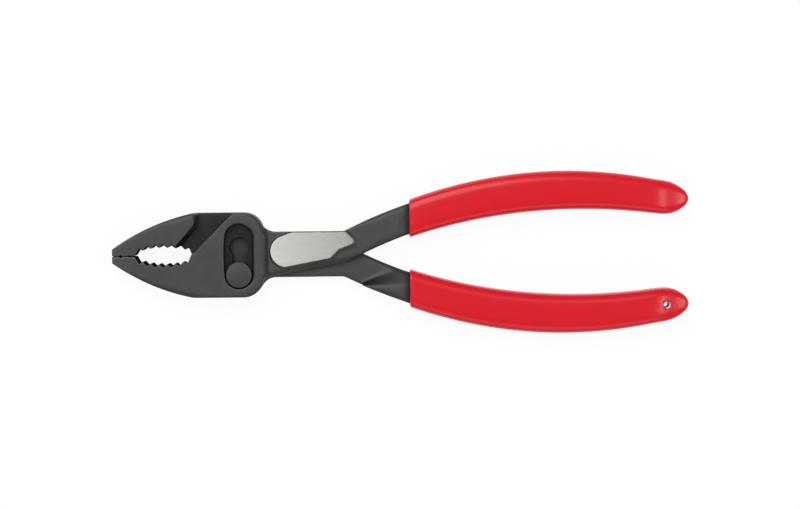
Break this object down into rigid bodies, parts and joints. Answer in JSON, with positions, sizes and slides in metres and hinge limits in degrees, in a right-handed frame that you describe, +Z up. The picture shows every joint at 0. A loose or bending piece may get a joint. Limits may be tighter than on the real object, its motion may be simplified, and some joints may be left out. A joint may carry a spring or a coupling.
{
  "type": "slip joint pliers",
  "caption": "Slip joint pliers with a toothed mouth, a pin that slips along a slot to widen the jaws, and long curved handles in dipped grips.",
  "frame": {"origin": "centre of the tool's outline, on the surface that its back face lies on", "axes": "+X from the nose to the grips along the tool, +Y across the handles towards the upper grip, +Z up out of the front face"},
  "size_m": [0.2032, 0.0572, 0.011],
  "materials": {
    "forged_steel": "dark satin, one shank ground bright",
    "pin_steel": "dark satin",
    "dipped_vinyl": "semi-gloss dipped vinyl"
  },
  "bodies": {
    "front_half": {"slotted_half": "forged_steel", "upper_grip": "dipped_vinyl"},
    "pin": {"pivot_pin": "pin_steel"},
    "back_half": {"pinned_half": "forged_steel", "lower_grip": "dipped_vinyl"}
  },
  "joints": [
    {"name": "slip", "type": "slide", "parent": "front_half", "child": "pin", "axis": [0, 1, 0], "range_m": [0, 0.0098]},
    {"name": "jaw_pivot", "type": "hinge", "parent": "pin", "child": "back_half", "pos_m": [-0.057, -0.0069, 0.0055], "axis": [0, 0, -1], "range_deg": [0, 50]}
  ]
}
